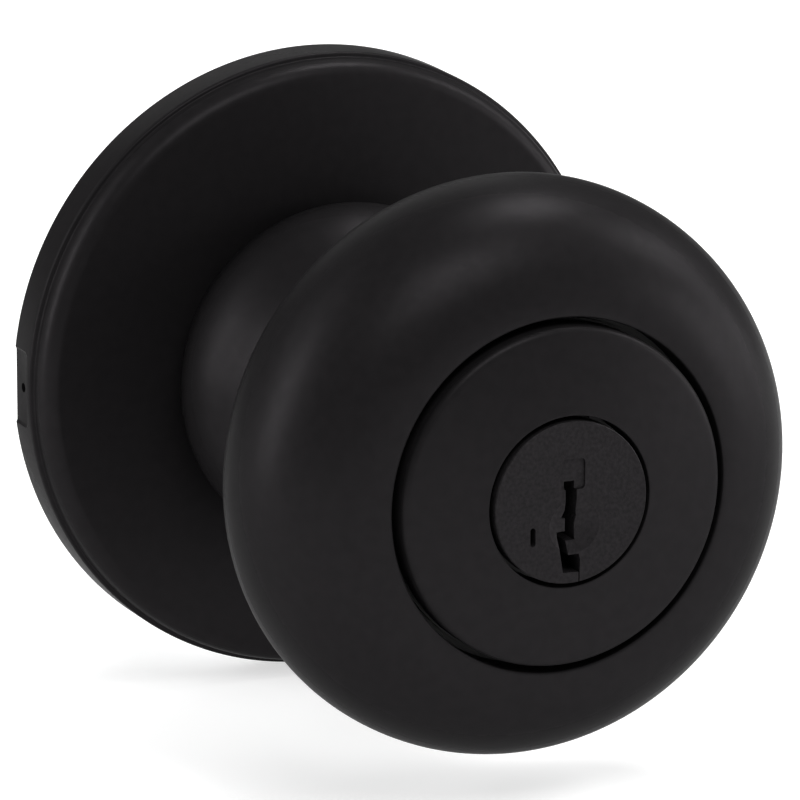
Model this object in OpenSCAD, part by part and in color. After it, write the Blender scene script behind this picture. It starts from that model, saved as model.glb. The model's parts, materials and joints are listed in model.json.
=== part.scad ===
// Exterior half of a keyed entry door knob: rose, chassis, mushroom knob and its rekeyable key cylinder.
// Millimetres. +Z is up, the knob points along -Y, and the door's outer face is the plane Y = 0.
// Every module is drawn lying down, with its own +Z pointing out of the door, and outward() stands it up.

/* [Knob] */
// Widest radius of the knob
knob_r = 29.25; // [28.5:0.05:29.6]
// Height of the widest ring above the door face
knob_widest_u = 48.2; // [47.6:0.1:48.8]
// Thickness of the knob's shell
shell_wall = 1.4; // [1.1:0.1:1.6]
// Largest radius of the neck's swelling beside the rose
neck_swell_r = 18.1; // [17.6:0.1:18.6]
// Smallest radius of the neck
neck_waist_r = 13.4; // [13.2:0.1:14]
// Radius of the knob's round front opening
lip_r = 17.85; // [17.75:0.05:18.1]

/* [Front cap] */
// Radius of the cap in the front opening
cap_r = 17.1; // [16.9:0.05:17.3]
// Radius of the cap's shallow dome
cap_dome_r = 71; // [66:1:76]
// Radius of the cap's hole for the key plug
cap_hole_r = 8.62; // [8.55:0.01:8.7]

/* [Rose] */
// Outer radius of the rose
rose_r = 32.5; // [32.5:0.1:33.5]
// Height of the rose's raised bead above the door face
rose_h = 7; // [6.9:0.1:7.1]
// Thickness of the rose's sheet
rose_wall = 1; // [0.8:0.1:1.1]
// Height of the rose's straight side above the door face
rose_side_h = 3.9; // [3.7:0.05:4]
// Width of the recess in the rose's edge
rose_notch_w = 8.4; // [7:0.1:10]
// Depth of the recess in the rose's edge
rose_notch_depth = 0.4; // [0.3:0.05:0.5]

/* [Chassis] */
// Distance between the two threaded posts
post_spacing = 38.1; // [38.1:0.1:38.2]
// Radius of the threaded holes, modelled plain
post_hole_r = 2; // [1.8:0.1:2.1]
// Outer radius of a post
post_r = 3.75; // [3.5:0.05:3.9]
// Length of a post behind the door face
post_len = 16; // [14:0.5:17]
// Length of the half-round spindle behind the door face
spindle_len = 42; // [38:0.5:44]
// Length of the torque blade behind the door face
blade_len = 46; // [43:0.5:48]

/* [Cylinder] */
// Radius of the turning plug's barrel
plug_r = 7.6; // [7.58:0.01:7.62]
// Radius of the plug's face
plug_face_r = 8.16; // [8.1:0.01:8.2]
// Height of the plug's face above the door face
plug_face_u = 64; // [63.9:0.05:64.1]
// Distance between neighbouring key pins
pin_pitch = 3.81; // [3.78:0.01:3.84]
// Radial gap of the turning fits
turn_fit = 0.05; // [0.03:0.01:0.08]

/* [Hidden] */
$fn = 96;

black = "#232225";
blackened = "#2e2d2f";
steel = "#b9bcc0";
dark_steel = "#7d8084";
brass = "#c9a558";
nylon = "#e8e6dd";
bronze = "#9c7a4a";

gap = 0.05;             // clearance between neighbours that are fixed to each other
over = 0.5;             // how far a cut runs past what it cuts

// Rose
rose_step_u = 4.37;     // height of the narrow step between the side and the bead
rose_face_r = rose_r - 2.4;
rose_hole_r = 15.2;
catch_hole_u = 1.8;
catch_hole_r = 0.5;

// Knob shell outline, in (radius, height)
neck_base = [16.6, 7.35];
neck_swell = [neck_swell_r, 11.5];
neck_waist = [neck_waist_r, 27];
knob_back = [20.5, 38];
knob_widest = [knob_r, knob_widest_u];
knob_crest = [18.3, 61.35];
lip_skirt_u = 57.5;
lip_skirt_r = lip_r + 1;
lip_round = 0.45;
curve_steps = 9;

// Front cap
cap_back_u = 59;
cap_edge_r = 0.6;
cap_edge_u = 62.3;
cap_rim_u = 61.5;
cap_skirt = [14.2, 15.4];
cap_skirt_u = 55.6;
cap_lug_w = 1.4;
cap_lug_r = 8.3;
cap_lug_angle = 69.5;
cap_lug_u = [62, 63.1];

// Knob core
core_hub = [9.9, 12.4];
core_ring = [15.5, 17.2];
core_web_r = 25.8;      // the web's edge sits on the shell's inner shoulder
core_back_u = 42.6;
core_web_u = 43.2;
core_web_t = 1.8;
core_ring_u = 58.2;
core_hub_u = 57.3;
core_hole_r = 2.6;
core_hole_count = 6;
core_seat_r = lip_skirt_r;
core_seat_u = [55.4, lip_skirt_u - gap];

// Shank tube
shank_r = 11.2;
shank_bore_r = 9.9;
shank_back_u = -9;
shank_flange_u = 41.4;
shank_flange_t = 1.4;
shank_flange_r = 17;
shank_collar_r = 14.9;
shank_collar = [6.4, 8.6];
ring_groove_u = [-2.15, -1.15];
ring_groove_r = 10.7;
spindle_r = [3.9, 5];

// Chassis
plate_u = [0.2, 1.7];
plate_rim_r = [30.2, 31.4];
plate_rim_u = 3.2;
sleeve_r = 12.5;
sleeve_u = [-1, 5.2];
sleeve_flange_r = 14.5;
sleeve_flange_t = 1;
register_r = 26.6;
register_u = -3;
register_wall = 1.4;
spring_cup_r = [14.15, 15];
spring_cup_back_u = -10.6;
spring_cup_wall = 1;
spring_cup_hole_r = 9;
rivet_r = 1.2;
rivet_head_r = 2.1;
rivet_head_t = 0.7;
rivet_pitch_r = 18.2;
rivet_angles = [45, 135, 225, 315];
ear_r = 2.9;
ear_u = [plate_u[0] - gap - 0.9, plate_u[0] - gap];
post_spigot_r = 2.9;
post_head_r = 3.5;
post_head_u = 2.5;
post_hole_front_u = 0.6;
plate_cut = [-4, 3];    // span of the holes through the plate and the ears

// Return spring
spring_wire_r = 0.5;
spring_mean_r = 13.1;
spring_turns = 3;
spring_u = [-8.6, -4.9];

// Plug and housing
housing_r = 9.8;
housing_u = [33.6, 61.7];
housing_nose_r = 8.4;
housing_nose_u = cap_back_u - 0.1;
housing_flange_r = 13.4;
housing_flange_t = 1.4;
housing_groove_r = housing_r - 0.5;
housing_groove_u = [core_back_u - 1, core_back_u - 0.1];
plug_back_u = 31.8;
plug_head_u = 61.8;
plug_chamfer = 0.1;
play = 0.1;             // clearance of the sliding pieces inside the plug
first_pin_u = 56.2;
pin_count = 5;
keyway_end_u = 36.5;
chamber_r = 1.3;
chamber_floor_y = -1.6;
pin_r = 1.24;
pin_y = [-1.45, 2.4];
pin_tip_r = 0.5;
pin_cone_h = 0.9;
pin_groove_y = [0.6, 1.3];
pin_groove_r = 0.85;
cover_y = [6.65, 7.3];
cover_half_w = 1.7;
cover_u = [first_pin_u - (pin_count - 1) * pin_pitch - 2, first_pin_u + 2];
pin_spring_r = 0.95;
pin_spring_wire_r = 0.13;
pin_spring_turns = 5;
wafer_x = [-3.2, -1.45];
wafer_y = [-2.6, 2.4];
wafer_half_t = 0.75;
wafer_travel = 2.2;
wafer_notch = 0.5;
tongue_x = -1;
tongue_half_t = 0.4;
bar_x = [-7.45, -4.7];
bar_half_h = 0.9;
bar_u = [39.4, 58.2];
bar_ridge_x = -3.45;
bar_ridge_half_h = 0.35;
bar_spring_r = 0.42;
bar_spring_wire_r = 0.1;
bar_spring_hole_r = 0.62;
bar_spring_x = -2.5;
bar_spring_turns = 4;
bar_groove_r = 8.45;
blade_half_w = 3.1;
blade_half_t = 0.8;
blade_front_u = 35.2;
blade_pin_r = 0.5;
blade_pin_u = 34;
clip_groove_u = [32.2, 33.2];
clip_groove_r = 6.6;
tool_slot = [-4.1, -3.05];
tool_slot_half_w = 0.28;
tool_slot_half_h = 0.95;
tool_slot_depth = 9;
sink_centre = [0.35, -2.4];
sink_r = 2.7;
sink_depth = 0.42;
pocket_x = [-1.05, 1.5];
pocket_y = [1.3, 4.4];
pocket_depth = 0.22;
pocket_corner_r = 0.45;
seam_x = 0.95;
seam_w = 0.12;
seam_depth = 3;

// Keyway outline, clockwise from its top left corner
keyway = [
    [-0.7, 2.15], [0.4, 2.15], [0.4, 1.4], [0.6, 1.3], [0.6, -0.85], [0.7, -1.45], [0.5, -2.25],
    [0.5, -3.85], [-0.5, -3.85], [-0.3, -5.25], [0.85, -5.25], [1, -5.9], [0.95, -7.1],
    [-0.85, -7], [-1.45, -3.35], [-1.45, -2.9], [-0.5, -2.9], [-0.5, -1.6], [-0.95, -1.55],
    [-0.6, -0.75], [-0.6, 1.4], [-0.7, 1.5]
];

function pin_u(i) = first_pin_u - (i - 1) * pin_pitch;

// Points along a cubic curve from a to d with handles b and c, without the end point
function curve(a, b, c, d, n = curve_steps) = [
    for (i = [0:n - 1])
        let (t = i / n, s = 1 - t)
            s * s * s * a + 3 * s * s * t * b + 3 * s * t * t * c + t * t * t * d
];

// The same outline moved to its left by w
function inset(pts, w) = [
    for (i = [1:len(pts) - 2])
        let (d = pts[i + 1] - pts[i - 1])
            pts[i] + w * [-d.y, d.x] / norm(d)
];

// Points of a round coil about Z: mean radius r, from height z0 to z1
function coil(r, z0, z1, turns, per_turn) = [
    for (i = [0:turns * per_turn])
        let (a = 360 * i / per_turn)
            [r * cos(a), r * sin(a), z0 + (z1 - z0) * i / (turns * per_turn)]
];

module outward() {
    rotate([90, 0, 0]) children();
}

module tube(r_in, r_out, u0, u1) {
    translate([0, 0, u0])
        difference() {
            cylinder(r = r_out, h = u1 - u0);
            translate([0, 0, -over]) cylinder(r = r_in, h = u1 - u0 + 2 * over);
        }
}

module disc(r, u0, u1) {
    translate([0, 0, u0]) cylinder(r = r, h = u1 - u0);
}

module block(x, y, u) {
    translate([x[0], y[0], u[0]]) cube([x[1] - x[0], y[1] - y[0], u[1] - u[0]]);
}

// A round wire swept along a coil whose axis is Z, with n sides
module wire(path, r, n = 8) {
    last = len(path) - 1;
    rings = [
        for (i = [0:last])
            let (
                p = path[i],
                d = path[min(i + 1, last)] - path[max(i - 1, 0)],
                t = d / norm(d),
                e = [p.x, p.y, 0] / norm([p.x, p.y]),
                s = cross(t, e) / norm(cross(t, e)),
                q = cross(s, t)
            )
            for (k = [0:n - 1])
                p + r * (cos(360 * k / n) * q + sin(360 * k / n) * s)
    ];
    sides = [
        for (i = [0:last - 1], k = [0:n - 1])
            let (a = i * n + k, b = i * n + (k + 1) % n)
                each [[a, a + n, b + n], [a, b + n, b]]
    ];
    first_cap = [for (k = [0:n - 1]) k];
    last_cap = [for (k = [n - 1:-1:0]) last * n + k];
    polyhedron(points = rings, faces = concat(sides, [first_cap, last_cap]));
}

// ---- Chassis, fixed to the door ----

function rose_outline() = concat(
    [[rose_r, 0]],
    curve([rose_r, rose_side_h], [rose_r, 4.25], [rose_r - 0.1, 4.35], [rose_r - 0.3, rose_step_u], 4),
    curve([rose_r - 0.3, rose_step_u], [rose_r - 0.5, 4.4], [rose_r - 0.5, 4.5], [rose_r - 0.52, 4.8], 4),
    curve([rose_r - 0.52, 4.8], [rose_r - 0.6, 6.2], [rose_r - 1.3, rose_h], [rose_face_r, rose_h], 10),
    [[rose_face_r, rose_h], [rose_hole_r, rose_h]]
);

module rose() {
    outline = rose_outline();
    inner = inset(concat([[rose_r, -1]], outline, [[rose_hole_r - 1, rose_h]]), rose_wall);
    skin = [for (p = inner) if (p.y > rose_wall && p.x < rose_r - rose_wall + 0.01) p];
    color(black)
        outward()
            difference() {
                rotate_extrude()
                    polygon(concat(
                        outline,
                        [for (i = [len(skin) - 1:-1:0]) skin[i]],
                        [[rose_r - rose_wall, 0]]
                    ));
                rose_notch();
            }
}

// The pry recess at nine o'clock, open to the back, with a small catch hole
module rose_notch() {
    w = rose_notch_w;
    h = 3.6;
    corner = 1;
    reach = 1 + rose_notch_depth;
    translate([-rose_r - 1, -w / 2, -over]) cube([reach, w, h - corner + over]);
    translate([-rose_r - 1, -w / 2 + corner, 0]) cube([reach, w - 2 * corner, h]);
    for (side = [-1, 1])
        translate([-rose_r - 1, side * (w / 2 - corner), h - corner])
            rotate([0, 90, 0]) cylinder(r = corner, h = reach, $fn = 32);
    translate([-rose_r - 1, 0, catch_hole_u])
        rotate([0, 90, 0]) cylinder(r = catch_hole_r, h = 3, $fn = 32);
}

module mounting_plate() {
    color(steel)
        outward()
            difference() {
                union() {
                    disc(plate_rim_r[1], plate_u[0], plate_u[1]);
                    tube(plate_rim_r[0], plate_rim_r[1], plate_u[0], plate_rim_u);
                    tube(register_r - register_wall, register_r, register_u, plate_u[1]);
                }
                disc(sleeve_r + gap, plate_cut[0], plate_cut[1]);
                for (side = [-1, 1])
                    translate([side * post_spacing / 2, 0, 0])
                        disc(post_spigot_r + gap, plate_cut[0], plate_cut[1]);
                for (a = rivet_angles)
                    rotate(a) translate([rivet_pitch_r, 0, 0])
                        disc(rivet_r + gap, plate_cut[0], plate_cut[1], $fn = 32);
            }
}

module mounting_posts() {
    color(steel)
        outward()
            for (side = [-1, 1])
                translate([side * post_spacing / 2, 0, 0])
                    difference() {
                        union() {
                            disc(post_r, -post_len, plate_u[0] - gap);
                            disc(post_spigot_r, 0, plate_u[1] + gap);
                            disc(post_head_r, plate_u[1] + gap, post_head_u);
                        }
                        disc(post_hole_r, -post_len - over, post_hole_front_u);
                    }
}

module bearing_sleeve() {
    color(bronze)
        outward()
            difference() {
                union() {
                    disc(sleeve_r, sleeve_u[0], sleeve_u[1]);
                    disc(sleeve_flange_r, sleeve_u[1] - sleeve_flange_t, sleeve_u[1]);
                    disc(sleeve_flange_r, plate_u[1] + gap, plate_u[1] + sleeve_flange_t);
                }
                disc(shank_r + turn_fit, sleeve_u[0] - over, sleeve_u[1] + over);
            }
}

// The cup behind the plate that holds the return spring, with four ears for its rivets
module spring_housing() {
    color(steel)
        outward()
            difference() {
                union() {
                    tube(spring_cup_r[0], spring_cup_r[1], spring_cup_back_u, plate_u[0] - gap);
                    disc(spring_cup_r[1], spring_cup_back_u, spring_cup_back_u + spring_cup_wall);
                    for (a = rivet_angles)
                        rotate(a)
                            difference() {
                                union() {
                                    translate([rivet_pitch_r, 0, 0]) disc(ear_r, ear_u[0], ear_u[1]);
                                    block([spring_cup_r[1] - over, rivet_pitch_r], [-ear_r, ear_r], ear_u);
                                }
                                translate([rivet_pitch_r, 0, 0])
                                    disc(rivet_r + gap, plate_cut[0], plate_cut[1], $fn = 32);
                                disc(spring_cup_r[0], plate_cut[0], plate_cut[1]);
                            }
                }
                disc(spring_cup_hole_r, spring_cup_back_u - over, spring_cup_back_u + spring_cup_wall + over);
            }
}

module housing_rivets() {
    back_u = ear_u[0] - gap;
    front_u = plate_u[1] + gap;
    color(dark_steel)
        outward()
            for (a = rivet_angles)
                rotate(a)
                    translate([rivet_pitch_r, 0, 0]) {
                        disc(rivet_r, back_u - rivet_head_t / 2, front_u + rivet_head_t / 2, $fn = 32);
                        disc(rivet_head_r, back_u - rivet_head_t, back_u);
                        disc(rivet_head_r, front_u, front_u + rivet_head_t);
                    }
}

module return_spring() {
    color(dark_steel)
        outward()
            wire(coil(spring_mean_r, spring_u[0], spring_u[1], spring_turns, 22), spring_wire_r);
}

// ---- Knob, turning in the chassis ----

function shell_outline() = concat(
    curve(neck_base, [17.6, 8], [neck_swell_r, 9.6], neck_swell),
    curve(neck_swell, [neck_swell_r, 16.5], [neck_waist_r, 20.5], neck_waist),
    curve(neck_waist, [neck_waist_r, 33], [16.2, 36.5], knob_back),
    curve(knob_back, [25.3, 39.7], [knob_r, 43.3], knob_widest),
    curve(knob_widest, [knob_r, 55.4], [24.9, 60.75], knob_crest, 2 * curve_steps),
    [knob_crest]
);

module knob_shell() {
    outer = shell_outline();
    skin = [for (p = inset(outer, shell_wall)) if (p.x > lip_skirt_r + 0.6 || p.y < knob_widest_u) p];
    lip_edge = [lip_r, knob_crest.y - lip_round];
    rolled = concat(
        curve(knob_crest, [lip_r + 0.1, knob_crest.y], [lip_r, knob_crest.y], lip_edge, 4),
        [lip_edge]
    );
    color(black)
        outward()
            rotate_extrude()
                polygon(concat(
                    [[neck_base.x - shell_wall, neck_base.y]],
                    outer,
                    [for (i = [1:4]) rolled[i]],
                    [[lip_r, lip_skirt_u], [lip_skirt_r, lip_skirt_u], [lip_skirt_r, skin[len(skin) - 1].y]],
                    [for (i = [len(skin) - 1:-1:0]) skin[i]]
                ));
}

module knob_core() {
    color(blackened)
        outward()
            difference() {
                union() {
                    disc(core_hub[1], core_back_u, core_hub_u);
                    disc(core_web_r, core_web_u, core_web_u + core_web_t);
                    tube(core_ring[0], core_ring[1], core_web_u, core_ring_u);
                    tube(core_ring[0], core_seat_r, core_seat_u[0], core_seat_u[1]);
                }
                disc(core_hub[0], core_back_u - over, core_ring_u + over);
                for (i = [0:core_hole_count - 1])
                    rotate(i * 360 / core_hole_count)
                        translate([(core_ring[1] + core_web_r) / 2, 0, core_web_u - over])
                            cylinder(r = core_hole_r, h = core_web_t + 2 * over, $fn = 32);
            }
}

// Height of the cap's dome at radius r
function dome_u(r) = cap_edge_u + sqrt(cap_dome_r * cap_dome_r - r * r)
    - sqrt(pow(cap_dome_r, 2) - pow(cap_r - cap_edge_r, 2));

module face_cap() {
    steps = 10;
    edge = cap_r - cap_edge_r;
    dome = [for (i = [0:steps]) let (r = cap_hole_r + (edge - cap_hole_r) * i / steps) [r, dome_u(r)]];
    rim_end = [cap_r, cap_rim_u];
    rim = curve([edge, cap_edge_u], [edge + 0.35, cap_edge_u - 0.1], [cap_r, cap_edge_u - 0.4], rim_end, 5);
    color(black)
        outward() {
            rotate_extrude()
                polygon(concat(
                    [[cap_hole_r, cap_back_u]],
                    dome,
                    [for (i = [1:4]) rim[i]],
                    [rim_end, [cap_r, cap_back_u]]
                ));
            tube(cap_skirt[0], cap_skirt[1], cap_skirt_u, cap_back_u + gap);
            cap_lug();
        }
}

// The small locating lug in the cap's hole
module cap_lug() {
    rotate(cap_lug_angle)
        difference() {
            block([cap_lug_r - 0.5, cap_hole_r + 1], [-cap_lug_w / 2, cap_lug_w / 2], cap_lug_u);
            translate([0, 0, cap_back_u]) cylinder(r = cap_lug_r, h = 10);
        }
}

module shank_tube() {
    color(steel)
        outward()
            difference() {
                union() {
                    disc(shank_r, shank_back_u, shank_flange_u);
                    disc(shank_collar_r, shank_collar[0], shank_collar[1]);
                    disc(shank_flange_r, shank_flange_u - shank_flange_t, shank_flange_u);
                }
                disc(shank_bore_r, shank_back_u - over, shank_flange_u + over);
                tube(ring_groove_r, shank_r + 1, ring_groove_u[0], ring_groove_u[1]);
            }
}

// The half-round spindle and the disc that carries it in the shank's end
module drive_spindle() {
    disc_u = [-8.9, -6.5];
    color(steel)
        outward() {
            tube(spindle_r[0], shank_bore_r - gap, disc_u[0], disc_u[1]);
            translate([0, 0, -spindle_len])
                rotate_extrude(angle = 180, start = 180)
                    translate([spindle_r[0], 0])
                        square([spindle_r[1] - spindle_r[0], spindle_len + disc_u[0] + gap]);
        }
}

module spring_driver() {
    u = [-4.2, -2.6];
    ring_r = 12.4;
    tab_half_w = 1.6;
    tab_r = 13.9;
    color(dark_steel)
        outward() {
            tube(shank_r + gap, ring_r, u[0], u[1]);
            difference() {
                block([-tab_half_w, tab_half_w], [shank_r, tab_r], u);
                translate([0, 0, u[0] - over]) cylinder(r = ring_r - over, h = u[1] - u[0] + 2 * over);
            }
        }
}

// An open ring snapped into the shank's groove, behind the bearing sleeve
module retaining_ring() {
    ring_r = 13.2;
    mouth_half_w = 2.5;
    color(dark_steel)
        outward()
            difference() {
                tube(ring_groove_r + gap, ring_r, ring_groove_u[0] + gap, ring_groove_u[1] - gap);
                block([-mouth_half_w, mouth_half_w], [-ring_r - 1, 0], [ring_groove_u[0] - 1, 0]);
            }
}

module thrust_washer() {
    color(nylon)
        outward() tube(shank_r + 0.1, sleeve_flange_r, sleeve_u[1] + gap, shank_collar[0] - gap);
}

module cylinder_housing() {
    color(blackened)
        outward()
            difference() {
                union() {
                    disc(housing_r, housing_u[0], housing_nose_u);
                    disc(housing_nose_r, housing_nose_u - gap, housing_u[1]);
                    disc(housing_flange_r, housing_nose_u - housing_flange_t, housing_nose_u);
                }
                disc(plug_r + turn_fit, housing_u[0] - over, housing_u[1] + over);
                sidebar_groove();
                rotate(-90) sidebar_groove();
                tube(housing_groove_r, housing_r + 1, housing_groove_u[0], housing_groove_u[1]);
            }
}

// The groove that the sidebar springs into: one where the plug is locked, one a quarter turn on for rekeying
module sidebar_groove() {
    block([-bar_groove_r, -5], [-bar_half_h - 0.2, bar_half_h + 0.2], [bar_u[0] - 0.3, bar_u[1] + 0.3]);
}

// An open ring in the housing's groove, between the shank's flange and the core
module housing_clip() {
    clip_r = 12.6;
    mouth_half_w = 3;
    color(dark_steel)
        outward()
            difference() {
                tube(housing_groove_r + gap, clip_r, housing_groove_u[0] + gap, housing_groove_u[1] - gap);
                block([-mouth_half_w, mouth_half_w], [-clip_r - 1, 0], [core_back_u - 2, core_back_u + 1]);
            }
}

// ---- Key plug, turning in the cylinder housing ----

module plug_body() {
    color(black)
        outward()
            difference() {
                union() {
                    disc(plug_r, plug_back_u, plug_head_u + gap);
                    disc(plug_face_r, plug_head_u, plug_face_u - plug_chamfer);
                    translate([0, 0, plug_face_u - plug_chamfer])
                        cylinder(r1 = plug_face_r, r2 = plug_face_r - plug_chamfer, h = plug_chamfer);
                }
                translate([0, 0, keyway_end_u])
                    linear_extrude(plug_face_u - keyway_end_u + 1) polygon(keyway);
                face_details();
                pin_works();
                blade_socket();
                tube(clip_groove_r, plug_r + 1, clip_groove_u[0], clip_groove_u[1]);
            }
}

// The shallow cast marks and the small tool slot in the plug's face
module face_details() {
    sink_ball_r = (sink_r * sink_r + sink_depth * sink_depth) / (2 * sink_depth);
    translate([sink_centre.x, sink_centre.y, plug_face_u + sink_ball_r - sink_depth])
        sphere(r = sink_ball_r);
    translate([0, 0, plug_face_u - pocket_depth])
        linear_extrude(1) {
            translate([pocket_x[0], pocket_y[0] + pocket_corner_r])
                square([pocket_x[1] - pocket_x[0], pocket_y[1] - pocket_y[0] - 2 * pocket_corner_r]);
            translate([pocket_x[0] + pocket_corner_r, pocket_y[0]])
                square([pocket_x[1] - pocket_x[0] - 2 * pocket_corner_r, pocket_y[1] - pocket_y[0]]);
            for (x = [pocket_x[0] + pocket_corner_r, pocket_x[1] - pocket_corner_r])
                for (y = [pocket_y[0] + pocket_corner_r, pocket_y[1] - pocket_corner_r])
                    translate([x, y]) circle(r = pocket_corner_r, $fn = 32);
        }
    translate([tool_slot.x, tool_slot.y, plug_face_u - tool_slot_depth])
        linear_extrude(tool_slot_depth + 1) {
            square([2 * tool_slot_half_w, 2 * (tool_slot_half_h - tool_slot_half_w)], center = true);
            for (side = [-1, 1])
                translate([0, side * (tool_slot_half_h - tool_slot_half_w)])
                    circle(r = tool_slot_half_w, $fn = 32);
        }
    block([seam_x - seam_w, seam_x], [-plug_face_r - 1, -6.9], [plug_face_u - seam_depth, plug_face_u + 1]);
}

// Chambers for the pins and their springs, pockets for the wafers and the slot for the sidebar
module pin_works() {
    for (i = [1:pin_count])
        translate([0, 0, pin_u(i)]) {
            translate([0, chamber_floor_y, 0])
                rotate([-90, 0, 0]) cylinder(r = chamber_r, h = 12);
            block([wafer_x[0] - play, tongue_x], [wafer_y[0] - play, wafer_y[1] + wafer_travel + 2 * play],
                  [-wafer_half_t - play, wafer_half_t + play]);
            block([bar_x[1] - play, wafer_x[0]], [-bar_ridge_half_h - play, bar_ridge_half_h + play],
                  [-wafer_half_t - play, wafer_half_t + play]);
        }
    block([-cover_half_w - gap, cover_half_w + gap], [cover_y[0] - gap, plug_r + 1],
          [cover_u[0] - gap, cover_u[1] + gap]);
    block([-plug_r - 1, bar_x[1] + gap], [-bar_half_h - gap, bar_half_h + gap],
          [bar_u[0] - play, bar_u[1] + play]);
    for (u = bar_spring_us())
        translate([bar_x[1] - play, 0, u])
            rotate([0, 90, 0])
                cylinder(r = bar_spring_hole_r, h = bar_spring_x - bar_x[1] + 2 * play, $fn = 32);
}

function bar_spring_us() = [pin_u(1.5), pin_u(4.5)];

module blade_socket() {
    translate([-blade_half_t - gap, -blade_half_w - gap, plug_back_u - 1])
        cube([2 * (blade_half_t + gap), 2 * (blade_half_w + gap), blade_front_u - plug_back_u + 1 + gap]);
    translate([-9, 0, blade_pin_u])
        rotate([0, 90, 0]) cylinder(r = blade_pin_r + gap, h = 18, $fn = 32);
}

// The strip that closes the spring chambers
module spring_cover() {
    color(brass)
        outward()
            block([-cover_half_w, cover_half_w], cover_y, cover_u);
}

module plug_clip() {
    clip_r = 9;
    clip_mouth_y = -3.4;
    color(dark_steel)
        outward()
            difference() {
                tube(clip_groove_r + gap, clip_r, clip_groove_u[0] + play, clip_groove_u[1] - play);
                block([-clip_r - 1, clip_r + 1], [-clip_r - 1, clip_mouth_y],
                      [clip_groove_u[0] - 1, clip_groove_u[1] + 1]);
            }
}

module torque_blade() {
    color(steel)
        outward()
            difference() {
                block([-blade_half_t, blade_half_t], [-blade_half_w, blade_half_w],
                      [-blade_len, blade_front_u]);
                translate([-5, 0, blade_pin_u])
                    rotate([0, 90, 0]) cylinder(r = blade_pin_r + gap, h = 10, $fn = 32);
            }
}

module blade_pin() {
    color(dark_steel)
        outward()
            translate([0, 0, blade_pin_u])
                rotate([0, 90, 0])
                    cylinder(r = blade_pin_r, h = 2 * plug_r - 6 * play, center = true, $fn = 32);
}

// A key pin with a round tip and a groove for the tongue of its wafer
module key_pin(i) {
    color(brass)
        outward()
            translate([0, pin_y[0], pin_u(i)])
                rotate([-90, 0, 0])
                    difference() {
                        union() {
                            cylinder(r1 = pin_tip_r, r2 = pin_r, h = pin_cone_h);
                            translate([0, 0, pin_cone_h])
                                cylinder(r = pin_r, h = pin_y[1] - pin_y[0] - pin_cone_h);
                        }
                        tube(pin_groove_r, pin_r + 1, pin_groove_y[0] - pin_y[0], pin_groove_y[1] - pin_y[0]);
                    }
}

module pin_spring(i) {
    color(dark_steel)
        outward()
            translate([0, 0, pin_u(i)])
                rotate([-90, 0, 0])
                    wire(coil(pin_spring_r, pin_y[1] + 0.2, cover_y[0] - 0.2, pin_spring_turns, 14),
                         pin_spring_wire_r, 6);
}

module wafer(i) {
    color(brass)
        outward()
            translate([0, 0, pin_u(i)]) {
                difference() {
                    block(wafer_x, wafer_y, [-wafer_half_t, wafer_half_t]);
                    block([wafer_x[0] - 1, wafer_x[0] + wafer_notch], [-0.5, 0.5], [-2, 2]);
                }
                block([wafer_x[1] - gap, tongue_x], [pin_groove_y[0] + 0.1, pin_groove_y[1] - 0.1],
                      [-tongue_half_t, tongue_half_t]);
            }
}

module sidebar() {
    bevel = 0.45;
    color(steel)
        outward() {
            difference() {
                translate([0, 0, bar_u[0]])
                    linear_extrude(bar_u[1] - bar_u[0])
                        polygon([
                            [bar_x[0], -bevel], [bar_x[0] + bevel, -bar_half_h], [bar_x[1], -bar_half_h],
                            [bar_x[1], bar_half_h], [bar_x[0] + bevel, bar_half_h], [bar_x[0], bevel]
                        ]);
                for (u = bar_spring_us())
                    translate([bar_x[1] - 0.5, 0, u])
                        rotate([0, 90, 0]) cylinder(r = bar_spring_hole_r, h = 2, $fn = 32);
            }
            for (i = [1:pin_count])
                block([bar_x[1] - gap, bar_ridge_x], [-bar_ridge_half_h, bar_ridge_half_h],
                      [pin_u(i) - wafer_half_t, pin_u(i) + wafer_half_t]);
        }
}

module sidebar_springs() {
    color(dark_steel)
        outward()
            for (u = bar_spring_us())
                translate([0, 0, u])
                    rotate([0, 90, 0])
                        wire(coil(bar_spring_r, bar_x[1] - 0.3, bar_spring_x - 0.15, bar_spring_turns, 12),
                             bar_spring_wire_r, 6);
}

rose();
mounting_plate();
mounting_posts();
bearing_sleeve();
spring_housing();
housing_rivets();
return_spring();
knob_shell();
knob_core();
face_cap();
shank_tube();
drive_spindle();
spring_driver();
retaining_ring();
thrust_washer();
cylinder_housing();
housing_clip();
plug_body();
spring_cover();
plug_clip();
torque_blade();
blade_pin();
key_pin(1);  // key_pin_1
key_pin(2);  // key_pin_2
key_pin(3);  // key_pin_3
key_pin(4);  // key_pin_4
key_pin(5);  // key_pin_5
pin_spring(1);  // pin_spring_1
pin_spring(2);  // pin_spring_2
pin_spring(3);  // pin_spring_3
pin_spring(4);  // pin_spring_4
pin_spring(5);  // pin_spring_5
wafer(1);  // wafer_1
wafer(2);  // wafer_2
wafer(3);  // wafer_3
wafer(4);  // wafer_4
wafer(5);  // wafer_5
sidebar();
sidebar_springs();
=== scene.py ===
"""Looks of a matt black keyed entry knob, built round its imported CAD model. Metres, in the CAD model's frame:
the knob points along -Y, +Z is up, and the knob's axis is the Y axis."""

import json
import math

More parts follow.
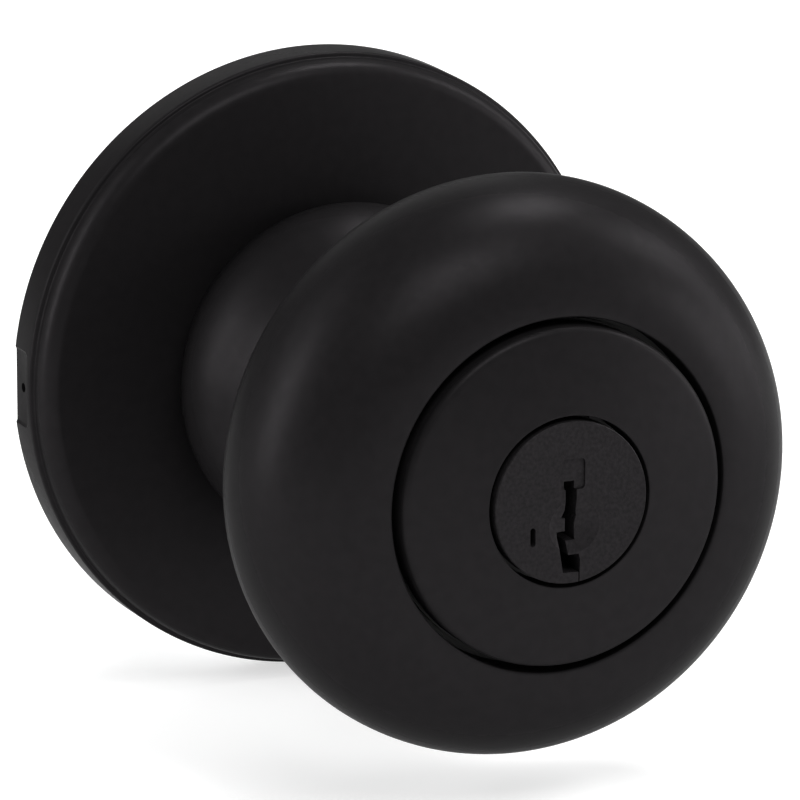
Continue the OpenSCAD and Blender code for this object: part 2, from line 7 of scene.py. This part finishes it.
import bmesh
import bpy
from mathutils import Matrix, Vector


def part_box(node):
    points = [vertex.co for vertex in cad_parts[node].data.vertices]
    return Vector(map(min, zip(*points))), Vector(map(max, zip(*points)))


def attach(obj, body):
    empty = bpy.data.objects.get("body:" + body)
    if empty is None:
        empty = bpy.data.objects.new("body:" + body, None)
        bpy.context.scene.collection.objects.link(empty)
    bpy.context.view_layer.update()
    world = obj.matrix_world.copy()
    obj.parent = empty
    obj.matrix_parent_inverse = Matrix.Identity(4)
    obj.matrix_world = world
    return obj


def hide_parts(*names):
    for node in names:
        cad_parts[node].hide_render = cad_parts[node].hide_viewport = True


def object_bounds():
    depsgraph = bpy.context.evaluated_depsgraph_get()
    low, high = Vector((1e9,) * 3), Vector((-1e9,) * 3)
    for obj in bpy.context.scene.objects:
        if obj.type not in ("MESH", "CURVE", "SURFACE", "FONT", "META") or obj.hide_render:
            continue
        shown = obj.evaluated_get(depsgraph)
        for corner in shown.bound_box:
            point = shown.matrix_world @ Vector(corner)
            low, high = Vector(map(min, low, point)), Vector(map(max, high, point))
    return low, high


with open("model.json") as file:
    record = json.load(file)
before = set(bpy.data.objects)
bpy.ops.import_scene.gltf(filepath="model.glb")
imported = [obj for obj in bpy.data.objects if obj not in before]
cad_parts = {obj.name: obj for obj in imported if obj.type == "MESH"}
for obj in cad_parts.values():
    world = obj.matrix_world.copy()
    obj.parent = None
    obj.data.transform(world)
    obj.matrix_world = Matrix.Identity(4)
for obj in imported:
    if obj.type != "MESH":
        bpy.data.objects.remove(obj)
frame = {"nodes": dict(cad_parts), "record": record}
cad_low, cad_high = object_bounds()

MM = 0.001
NODES = frame["nodes"]

# ---- Sizes, in millimetres, from the frame ----

ROSE_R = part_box("rose")[1].x / MM
ROSE_H = -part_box("rose")[0].y / MM
KNOB_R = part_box("knob_shell")[1].x / MM
KNOB_FRONT = -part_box("knob_shell")[0].y / MM
CAP_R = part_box("face_cap")[1].x / MM
SEGMENTS = 288
CREASE = math.radians(32)


# ---- Outlines ----


def curve(a, b, c, d, steps=16):
    """Points along a cubic curve from a to d with handles b and c, without the end point."""
    points = []
    for i in range(steps):
        t = i / steps
        s = 1 - t
        shares = (s**3, 3 * s * s * t, 3 * s * t * t, t**3)
        pairs = list(zip(shares, (a, b, c, d)))
        points.append(tuple(sum(share * p[axis] for share, p in pairs) for axis in (0, 1)))
    return points


def inset(points, distance):
    """The same open outline moved to its left."""
    moved = []
    for before, here, after in zip(points, points[1:], points[2:]):
        run = Vector((after[0] - before[0], after[1] - before[1])).normalized()
        moved.append((here[0] - distance * run.y, here[1] + distance * run.x))
    return moved


def rounded(points, radius, sharpest=150, steps=4):
    """The closed outline with its corners sharper than that many degrees rounded to that radius."""
    result = []
    for i, here in enumerate(points):
        p = Vector(here)
        to_before = Vector(points[i - 1]) - p
        to_after = Vector(points[(i + 1) % len(points)]) - p
        angle = to_before.angle(to_after)
        reach = min(radius / math.tan(angle / 2), 0.45 * to_before.length, 0.45 * to_after.length)
        if math.degrees(angle) > sharpest or reach < 1e-4:
            result.append(here)
            continue
        start = p + to_before.normalized() * reach
        end = p + to_after.normalized() * reach
        for k in range(steps + 1):
            t = k / steps
            q = start * (1 - t) ** 2 + p * 2 * t * (1 - t) + end * t**2
            result.append((q.x, q.y))
    return result


# ---- Meshes ----


def new_piece(name, mesh_builder, body, replaced):
    """An object from a bmesh, smooth but for its creases, that rides on body and stands for CAD nodes."""
    mesh = bpy.data.meshes.new(name)
    bmesh.ops.recalc_face_normals(mesh_builder, faces=mesh_builder.faces)
    mesh_builder.to_mesh(mesh)
    mesh_builder.free()
    piece = bpy.data.objects.new(name, mesh)
    bpy.context.scene.collection.objects.link(piece)
    mesh.shade_smooth()
    mesh.set_sharp_from_angle(angle=CREASE)
    if body:
        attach(piece, body)
    if replaced:
        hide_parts(*replaced)
    return piece


def lathe(outline):
    """A bmesh turned about the Y axis from a closed outline of (radius, height) points in millimetres."""
    solid = bmesh.new()
    rings = []
    for i in range(SEGMENTS):
        a = 2 * math.pi * i / SEGMENTS
        x, z = math.cos(a), math.sin(a)
        rings.append([solid.verts.new((r * x * MM, -u * MM, r * z * MM)) for r, u in outline])
    for i in range(SEGMENTS):
        here, after = rings[i], rings[(i + 1) % SEGMENTS]
        for j in range(len(outline)):
            k = (j + 1) % len(outline)
            solid.faces.new((here[j], here[k], after[k], after[j]))
    return solid


def prism(outline, u0, u1, at=lambda x, z, u: (x, -u, z)):
    """A bmesh with that (x, z) outline from height u0 to u1, in millimetres."""
    solid = bmesh.new()
    low = [solid.verts.new(Vector(at(x, z, u0)) * MM) for x, z in outline]
    high = [solid.verts.new(Vector(at(x, z, u1)) * MM) for x, z in outline]
    solid.faces.new(low)
    solid.faces.new(high)
    for i in range(len(outline)):
        k = (i + 1) % len(outline)
        solid.faces.new((low[i], low[k], high[k], high[i]))
    return solid


def combine(piece, tool_mesh, operation="DIFFERENCE"):
    """Takes the tool's volume out of the piece, or with UNION adds it."""
    tool = new_piece("tool", tool_mesh, None, None)
    boolean = piece.modifiers.new("combine", "BOOLEAN")
    boolean.operation = operation
    boolean.solver = "EXACT"
    boolean.object = tool
    apply_modifiers(piece)
    bpy.data.objects.remove(tool)
    piece.data.shade_smooth()
    piece.data.set_sharp_from_angle(angle=CREASE)


def apply_modifiers(piece):
    evaluated = piece.evaluated_get(bpy.context.evaluated_depsgraph_get())
    mesh = bpy.data.meshes.new_from_object(evaluated)
    piece.modifiers.clear()
    piece.data = mesh


# ---- Materials ----


class Recipe:
    """A node material under construction."""

    def __init__(self, name):
        self.material = bpy.data.materials.new(name)
        self.material.use_nodes = True
        self.tree = self.material.node_tree
        self.shader = self.tree.nodes["Principled BSDF"]
        self.place = self.add("ShaderNodeTexCoord").outputs["Object"]

    def add(self, kind, **settings):
        node = self.tree.nodes.new(kind)
        for key, value in settings.items():
            setattr(node, key, value)
        return node

    def link(self, source, target):
        self.tree.links.new(source, target)

    def noise(self, grain_mm, detail=4, stretch=(1, 1, 1)):
        """A noise whose grains are about grain_mm across."""
        mapping = self.add("ShaderNodeMapping")
        mapping.inputs["Scale"].default_value = [s / (grain_mm * MM) for s in stretch]
        self.link(self.place, mapping.inputs["Vector"])
        noise = self.add("ShaderNodeTexNoise")
        noise.inputs["Scale"].default_value = 1
        noise.inputs["Detail"].default_value = detail
        self.link(mapping.outputs["Vector"], noise.inputs["Vector"])
        return noise.outputs["Fac"]

    def turning_marks(self, pitch_mm):
        """A noise that depends only on the radius and the height along Y, as a lathe leaves it."""
        split = self.add("ShaderNodeSeparateXYZ")
        self.link(self.place, split.inputs["Vector"])
        flat = self.add("ShaderNodeCombineXYZ")
        self.link(split.outputs["X"], flat.inputs["X"])
        self.link(split.outputs["Z"], flat.inputs["Z"])
        radius = self.add("ShaderNodeVectorMath", operation="LENGTH")
        self.link(flat.outputs["Vector"], radius.inputs[0])
        marks = self.add("ShaderNodeCombineXYZ")
        self.link(radius.outputs["Value"], marks.inputs["X"])
        self.link(split.outputs["Y"], marks.inputs["Y"])
        noise = self.add("ShaderNodeTexNoise")
        noise.inputs["Scale"].default_value = 1 / (pitch_mm * MM)
        noise.inputs["Detail"].default_value = 3
        self.link(marks.outputs["Vector"], noise.inputs["Vector"])
        return noise.outputs["Fac"]

    def ramp(self, source, low, high):
        """source as a colour between low and high."""
        ramp = self.add("ShaderNodeValToRGB")
        ramp.color_ramp.elements[0].position = 0.35
        ramp.color_ramp.elements[0].color = (*low, 1)
        ramp.color_ramp.elements[1].position = 0.65
        ramp.color_ramp.elements[1].color = (*high, 1)
        self.link(source, ramp.inputs["Fac"])
        return ramp.outputs["Color"]

    def spread(self, source, low, high):
        """source as a number between low and high."""
        spread = self.add("ShaderNodeMapRange")
        spread.inputs["From Min"].default_value = 0.3
        spread.inputs["From Max"].default_value = 0.7
        spread.inputs["To Min"].default_value = low
        spread.inputs["To Max"].default_value = high
        self.link(source, spread.inputs["Value"])
        return spread.outputs["Result"]

    def bump(self, source, depth_mm):
        """Raises the surface by source, over any bump made before."""
        bump = self.add("ShaderNodeBump")
        bump.inputs["Strength"].default_value = 1
        bump.inputs["Distance"].default_value = depth_mm * MM
        self.link(source, bump.inputs["Height"])
        before = self.shader.inputs["Normal"].links
        if before:
            self.link(before[0].from_socket, bump.inputs["Normal"])
        self.link(bump.outputs["Normal"], self.shader.inputs["Normal"])

    def soft_sheen(self):
        """A faint sheen that stays dark where the surface turns away."""
        self.shader.inputs["Metallic"].default_value = 0.45
        self.shader.inputs["Specular Tint"].default_value = (0.3, 0.3, 0.3, 1)
        self.shader.inputs["Specular IOR Level"].default_value = 0.04


def satin_black():
    """Fine powder coat on smooth sheet: almost even, with a faint orange peel."""
    r = Recipe("satin_black_coat")
    colour = r.ramp(r.noise(1.2), (0.0146, 0.0137, 0.0145), (0.0164, 0.0153, 0.0162))
    r.link(colour, r.shader.inputs["Base Color"])
    r.link(r.spread(r.noise(0.5), 0.37, 0.43), r.shader.inputs["Roughness"])
    r.soft_sheen()
    r.bump(r.noise(0.45, detail=3), 0.004)
    return r.material


def cast_black():
    """The same coat over a fine sand-like cast grain."""
    r = Recipe("grained_black_coat")
    colour = r.ramp(r.noise(0.35), (0.0150, 0.0141, 0.0149), (0.0216, 0.0200, 0.0213))
    r.link(colour, r.shader.inputs["Base Color"])
    r.link(r.spread(r.noise(0.3), 0.42, 0.52), r.shader.inputs["Roughness"])
    r.soft_sheen()
    r.bump(r.noise(0.16, detail=2), 0.012)
    r.bump(r.noise(0.6, detail=3), 0.008)
    return r.material


def dark_metal_and_gap_shade():
    """Blackened turned metal inside the knob, dull and nearly without a sheen. It is kept darker than the outer
    coat as painted shade, so the gaps round the cap and the plug show black.
    """
    r = Recipe("dark_metal_and_gap_shade")
    colour = r.ramp(r.noise(1.5), (0.006, 0.0055, 0.006), (0.010, 0.009, 0.0095))
    r.link(colour, r.shader.inputs["Base Color"])
    r.link(r.spread(r.turning_marks(0.15), 0.5, 0.62), r.shader.inputs["Roughness"])
    r.bump(r.turning_marks(0.15), 0.004)
    return r.material


def plated_steel(name, low, high, roughness):
    """Zinc plating on steel, a little cloudy, with fine rolling lines."""
    r = Recipe(name)
    r.shader.inputs["Metallic"].default_value = 1
    r.link(r.ramp(r.noise(5), low, high), r.shader.inputs["Base Color"])
    r.link(r.spread(r.noise(1.5), roughness - 0.02, roughness + 0.04), r.shader.inputs["Roughness"])
    r.bump(r.noise(0.5, stretch=(0.15, 1, 4)), 0.001)
    return r.material


def turned_metal(name, low, high, roughness, pitch_mm=0.12):
    """Bright turned metal with the tool's rings."""
    r = Recipe(name)
    r.shader.inputs["Metallic"].default_value = 1
    r.link(r.ramp(r.noise(2.5), low, high), r.shader.inputs["Base Color"])
    marks = r.turning_marks(pitch_mm)
    r.link(r.spread(marks, roughness - 0.05, roughness + 0.07), r.shader.inputs["Roughness"])
    r.bump(marks, 0.006)
    return r.material


def grained_metal(name, low, high, roughness, grain_mm, depth_mm):
    """Cast, sintered or scaled metal with a fine grain."""
    r = Recipe(name)
    r.shader.inputs["Metallic"].default_value = 1
    r.link(r.ramp(r.noise(grain_mm), low, high), r.shader.inputs["Base Color"])
    r.link(r.spread(r.noise(grain_mm * 2), roughness - 0.07, roughness + 0.07), r.shader.inputs["Roughness"])
    r.bump(r.noise(grain_mm, detail=3), depth_mm)
    return r.material


def natural_nylon():
    r = Recipe("natural_nylon")
    r.link(r.ramp(r.noise(2), (0.72, 0.70, 0.61), (0.80, 0.78, 0.69)), r.shader.inputs["Base Color"])
    r.link(r.spread(r.noise(0.4), 0.40, 0.52), r.shader.inputs["Roughness"])
    r.bump(r.noise(0.3), 0.004)
    return r.material


BLACK = satin_black()
GRAINED = cast_black()
DARK_METAL_AND_GAP_SHADE = dark_metal_and_gap_shade()
SLOT_MATERIALS = {
    "plug_black": GRAINED,
    "zinc_steel": plated_steel("zinc_sheet", (0.42, 0.42, 0.42), (0.50, 0.51, 0.52), 0.36),
    "post_steel": turned_metal("turned_steel", (0.50, 0.50, 0.51), (0.60, 0.61, 0.62), 0.28),
    "rivet_steel": grained_metal("plain_steel", (0.30, 0.30, 0.30), (0.40, 0.40, 0.40), 0.38, 0.5, 0.006),
    "bronze": grained_metal("sintered_bronze", (0.30, 0.19, 0.09), (0.48, 0.33, 0.17), 0.42, 0.12, 0.012),
    "spring_steel": grained_metal("oiled_steel", (0.13, 0.13, 0.135), (0.22, 0.22, 0.225), 0.34, 0.25, 0.003),
    "shank_steel": turned_metal("plated_tube", (0.44, 0.45, 0.46), (0.56, 0.57, 0.59), 0.30, 0.2),
    "nylon": natural_nylon(),
    # the housing and the core get the darker black as painted shade for the gaps they show through
    "housing_black": DARK_METAL_AND_GAP_SHADE,
    "core_black": DARK_METAL_AND_GAP_SHADE,
    "pin_brass": turned_metal("small_turned_brass", (0.62, 0.44, 0.18), (0.74, 0.55, 0.27), 0.24, 0.06),
    "wafer_brass": grained_metal("stamped_brass", (0.56, 0.40, 0.17), (0.68, 0.51, 0.24), 0.30, 0.2, 0.004),
    "blade_steel": plated_steel("plated_blade", (0.44, 0.45, 0.46), (0.51, 0.52, 0.53), 0.32),
    "sidebar_steel": grained_metal("hard_steel", (0.38, 0.38, 0.39), (0.50, 0.50, 0.51), 0.28, 0.2, 0.003),
}


def paint(piece, material):
    piece.data.materials.clear()
    piece.data.materials.append(material)


# ---- The black pieces ----


def make_rose():
    """The stepped and beaded rose, a pressed sheet open at the back, with the recess at nine o'clock."""
    r = ROSE_R
    h = ROSE_H
    hole = 15.2
    wall = 1.0
    step = (r - 0.3, 4.37)
    bead_foot = (r - 0.52, 4.8)
    bead_top = (r - 2.4, h)
    outer = (
        [(r, 0)]
        + curve((r, 3.9), (r, 4.25), (r - 0.1, 4.35), step, 8)
        + curve(step, (r - 0.5, 4.4), (r - 0.5, 4.5), bead_foot, 8)
        + curve(bead_foot, (r - 0.6, 6.2), (r - 1.3, h), bead_top, 24)
        + [bead_top, (hole, h)]
    )
    inner = inset([(r, -1)] + outer + [(hole - 1, h)], wall)
    skin = [p for p in inner if p[1] > wall and p[0] < r - wall + 0.01]
    outline = rounded(outer + skin[::-1] + [(r - wall, 0)], 0.15, sharpest=140)
    piece = new_piece("rose_cover", lathe(outline), "root", ["rose"])
    combine(piece, recess_cutter())
    combine(piece, round_cutter(radius=0.5, height=1.8))
    paint(piece, BLACK)


def recess_cutter():
    """The pry recess: shallow, open to the back, with sloped ends and round corners."""
    depth = 0.4
    half_w = 3.75
    height = 3.35
    slope = 0.78
    top_slope = 0.32
    corner = 1
    low = ROSE_R - depth
    high = ROSE_R + 1
    flare = slope * (high - low) / depth

    def ring(x, grow):
        w = half_w + grow
        h = height + grow * top_slope
        points = [(-w, -1)]
        for k in range(9):
            a = math.pi - math.pi / 2 * k / 8
            points.append((-w + corner + corner * math.cos(a), h - corner + corner * math.sin(a)))
        for k in range(9):
            a = math.pi / 2 - math.pi / 2 * k / 8
            points.append((w - corner + corner * math.cos(a), h - corner + corner * math.sin(a)))
        points.append((w, -1))
        return [Vector((-x, -u, z)) * MM for z, u in points]

    solid = bmesh.new()
    rings = [[solid.verts.new(p) for p in ring(x, g)] for x, g in ((low, 0), (high, flare))]
    solid.faces.new(rings[0])
    solid.faces.new(rings[1])
    count = len(rings[0])
    for i in range(count):
        k = (i + 1) % count
        solid.faces.new((rings[0][i], rings[0][k], rings[1][k], rings[1][i]))
    return solid


def round_cutter(radius, height):
    """A hole through the rose's side at nine o'clock."""
    around = [2 * math.pi * k / 32 for k in range(32)]
    outline = [(radius * math.cos(a), radius * math.sin(a)) for a in around]
    return prism(outline, ROSE_R - 2, ROSE_R + 1, at=lambda z, u, x: (-x, -(height + u), z))


def make_knob_shell():
    """One skin from the neck to the rolled lip of the front opening."""
    wall = 1.4
    lip = 17.85
    crest = (18.3, KNOB_FRONT)
    skirt = (lip + 1, 57.5)
    widest = (KNOB_R, 48.2)
    base = (16.6, 7.35)
    swell = (18.1, 11.5)
    waist = (13.4, 27)
    back = (20.5, 38)
    outer = (
        curve(base, (17.6, 8), (swell[0], 9.6), swell, 20)
        + curve(swell, (swell[0], 16.5), (waist[0], 20.5), waist, 28)
        + curve(waist, (waist[0], 33), (16.2, 36.5), back, 24)
        + curve(back, (25.3, 39.7), (KNOB_R, 43.3), widest, 28)
        + curve(widest, (KNOB_R, 55.4), (24.9, 60.75), crest, 48)
        + [crest]
    )
    lip_edge = (lip, KNOB_FRONT - 0.45)
    skin = [p for p in inset(outer, wall) if p[0] > skirt[0] + 0.6 or p[1] < widest[1]]
    outline = (
        [(base[0] - wall, base[1])]
        + outer
        + curve(crest, (lip + 0.1, crest[1]), (lip, crest[1]), lip_edge, 6)[1:]
        + [lip_edge, (lip, skirt[1]), (skirt[0], skirt[1]), (skirt[0], skin[-1][1])]
        + skin[::-1]
    )
    solid = lathe(rounded(outline, 0.12, sharpest=140))
    piece = new_piece("knob", solid, "knob", ["knob_shell"])
    paint(piece, BLACK)


def make_face_cap():
    """The shallow domed cap with a fine round edge outside and round its hole."""
    dome_r = 71
    edge = CAP_R - 0.6
    edge_u = 62.3
    hole = 8.62
    back = 59
    skirt = (14.2, 15.4, 55.6)
    drop = math.sqrt(dome_r**2 - edge**2)
    steps = 24
    dome = []
    for i in range(steps + 1):
        radius = hole + (edge - hole) * i / steps
        dome.append((radius, edge_u + math.sqrt(dome_r**2 - radius**2) - drop))
    rim = curve((edge, edge_u), (edge + 0.35, edge_u - 0.1), (CAP_R, edge_u - 0.4), (CAP_R, edge_u - 0.8), 8)
    outline = (
        [(hole, back)]
        + dome
        + rim[1:]
        + [(CAP_R, edge_u - 0.8), (CAP_R, back), (skirt[1], back), (skirt[1], skirt[2]), (skirt[0], skirt[2])]
        + [(skirt[0], back)]
    )
    solid = lathe(rounded(outline, 0.2, sharpest=140))
    piece = new_piece("front_cap", solid, "knob", ["face_cap"])
    combine(piece, lug_block(hole), "UNION")
    paint(piece, BLACK)


def lug_block(hole):
    """The small locating lug that stands in from the cap's hole."""
    half_w = 0.7
    inner, outer = hole - 0.28, hole + 1
    low, high = 62, 63.1
    turn = math.radians(69.5)
    outline = []
    for x, z in rounded([(inner, -half_w), (outer, -half_w), (outer, half_w), (inner, half_w)], 0.15):
        outline.append((x * math.cos(turn) - z * math.sin(turn), x * math.sin(turn) + z * math.cos(turn)))
    return prism(outline, low, high)


# ---- CAD pieces that stay ----


def soften(node, width_mm):
    """Rounds a CAD piece's edges a little, as tumbling or plating leaves them."""
    piece = NODES[node]
    weld = piece.modifiers.new("weld", "WELD")
    weld.merge_threshold = 0.002 * MM
    bevel = piece.modifiers.new("soft_edges", "BEVEL")
    bevel.width = width_mm * MM
    bevel.segments = 2
    bevel.limit_method = "ANGLE"
    bevel.angle_limit = math.radians(40)
    bevel.harden_normals = True


def finish_cad_pieces():
    slots = {s["node"]: s["material_slot"] for s in frame["record"]["subparts"]}
    for node in NODES:
        if slots[node] in SLOT_MATERIALS:
            material = SLOT_MATERIALS[slots[node]]
            for material_slot in NODES[node].material_slots:
                material_slot.material = material
    for node in SOFT_EDGES:
        soften(node, SOFT_EDGES[node])


SOFT_EDGES = {
    "plug_body": 0.06,
    "mounting_plate": 0.12,
    "mounting_posts": 0.15,
    "bearing_sleeve": 0.12,
    "spring_housing": 0.12,
    "housing_rivets": 0.15,
    "shank_tube": 0.12,
    "drive_spindle": 0.1,
    "spring_driver": 0.1,
    "retaining_ring": 0.08,
    "torque_blade": 0.12,
}


# ---- Studio ----

FLOOR_Z = cad_low.z - 0.0005
LIT_POINT = Vector((0, -0.03, 0))


def direction(azimuth, elevation):
    """Away from the knob. Azimuth 0 is in front, towards -Y, and 90 is towards +X. Degrees."""
    a, e = math.radians(azimuth), math.radians(elevation)
    return Vector((math.sin(a) * math.cos(e), -math.cos(a) * math.cos(e), math.sin(e)))


def area_light(name, azimuth, elevation, distance, size, power):
    """A soft box that faces the knob."""
    away = direction(azimuth, elevation)
    data = bpy.data.lights.new(name, "AREA")
    data.shape = "RECTANGLE"
    data.size, data.size_y = size
    data.energy = power
    lamp = bpy.data.objects.new(name, data)
    bpy.context.scene.collection.objects.link(lamp)
    lamp.location = LIT_POINT + away * distance
    lamp.rotation_euler = away.to_track_quat("Z", "Y").to_euler()


def make_floor():
    """A plain pale floor that glows a little, so that it stays even out of the lights' reach."""
    floor_mesh = bpy.data.meshes.new("floor")
    half = 4
    floor_mesh.from_pydata(
        [(-half, -half, FLOOR_Z), (half, -half, FLOOR_Z), (half, half, FLOOR_Z), (-half, half, FLOOR_Z)],
        [],
        [(0, 1, 2, 3)],
    )
    floor = bpy.data.objects.new("floor", floor_mesh)
    bpy.context.scene.collection.objects.link(floor)
    r = Recipe("pale_floor")
    r.link(r.ramp(r.noise(40), (0.60, 0.60, 0.60), (0.62, 0.62, 0.62)), r.shader.inputs["Base Color"])
    r.shader.inputs["Roughness"].default_value = 0.9
    r.shader.inputs["Emission Color"].default_value = (1, 1, 1, 1)
    r.shader.inputs["Emission Strength"].default_value = 0.6
    paint(floor, r.material)


def make_world():
    world = bpy.data.worlds.new("studio")
    world.use_nodes = True
    background = world.node_tree.nodes["Background"]
    background.inputs["Color"].default_value = (1, 1, 1, 1)
    background.inputs["Strength"].default_value = 0.2
    bpy.context.scene.world = world
    bpy.context.scene.view_settings.view_transform = "Standard"


def make_lights():
    """Soft boxes round the knob: their reflections are the bands on its shoulders and on the rose's bead."""
    area_light("front_top_box", -10, 58, 0.8, (0.5, 0.4), 3.2)
    area_light("top_back_box", 124, 62, 0.7, (0.2, 0.2), 2.3)
    area_light("right_high_box", 90, 34, 0.8, (0.3, 0.3), 2.4)
    area_light("right_low_box", 88, 2, 0.8, (0.2, 0.45), 2.7)
    area_light("right_front_box", 60, 8, 0.8, (0.3, 0.3), 1.9)
    area_light("left_strip", -108, 12, 0.7, (0.12, 0.5), 2.3)
    area_light("back_left_box", -122, 35, 0.7, (0.3, 0.3), 0.5)
    area_light("back_box", 170, 25, 0.8, (0.5, 0.3), 0.6)


def make_camera():
    """The three-quarter view from the left and a little above, through a long lens."""
    away = direction(-24.67, 15.12)
    distance = 0.822
    aim = Vector((-0.002, -0.0285, 0.00185))
    data = bpy.data.cameras.new("camera")
    data.sensor_width = 36
    data.lens = 366.9
    data.clip_start = 0.01
    camera = bpy.data.objects.new("camera", data)
    bpy.context.scene.collection.objects.link(camera)
    camera.location = aim + away * distance
    camera.rotation_euler = away.to_track_quat("Z", "Y").to_euler()
    bpy.context.scene.camera = camera


make_camera()
make_rose()
make_knob_shell()
make_face_cap()
finish_cad_pieces()
make_floor()
make_world()
make_lights()
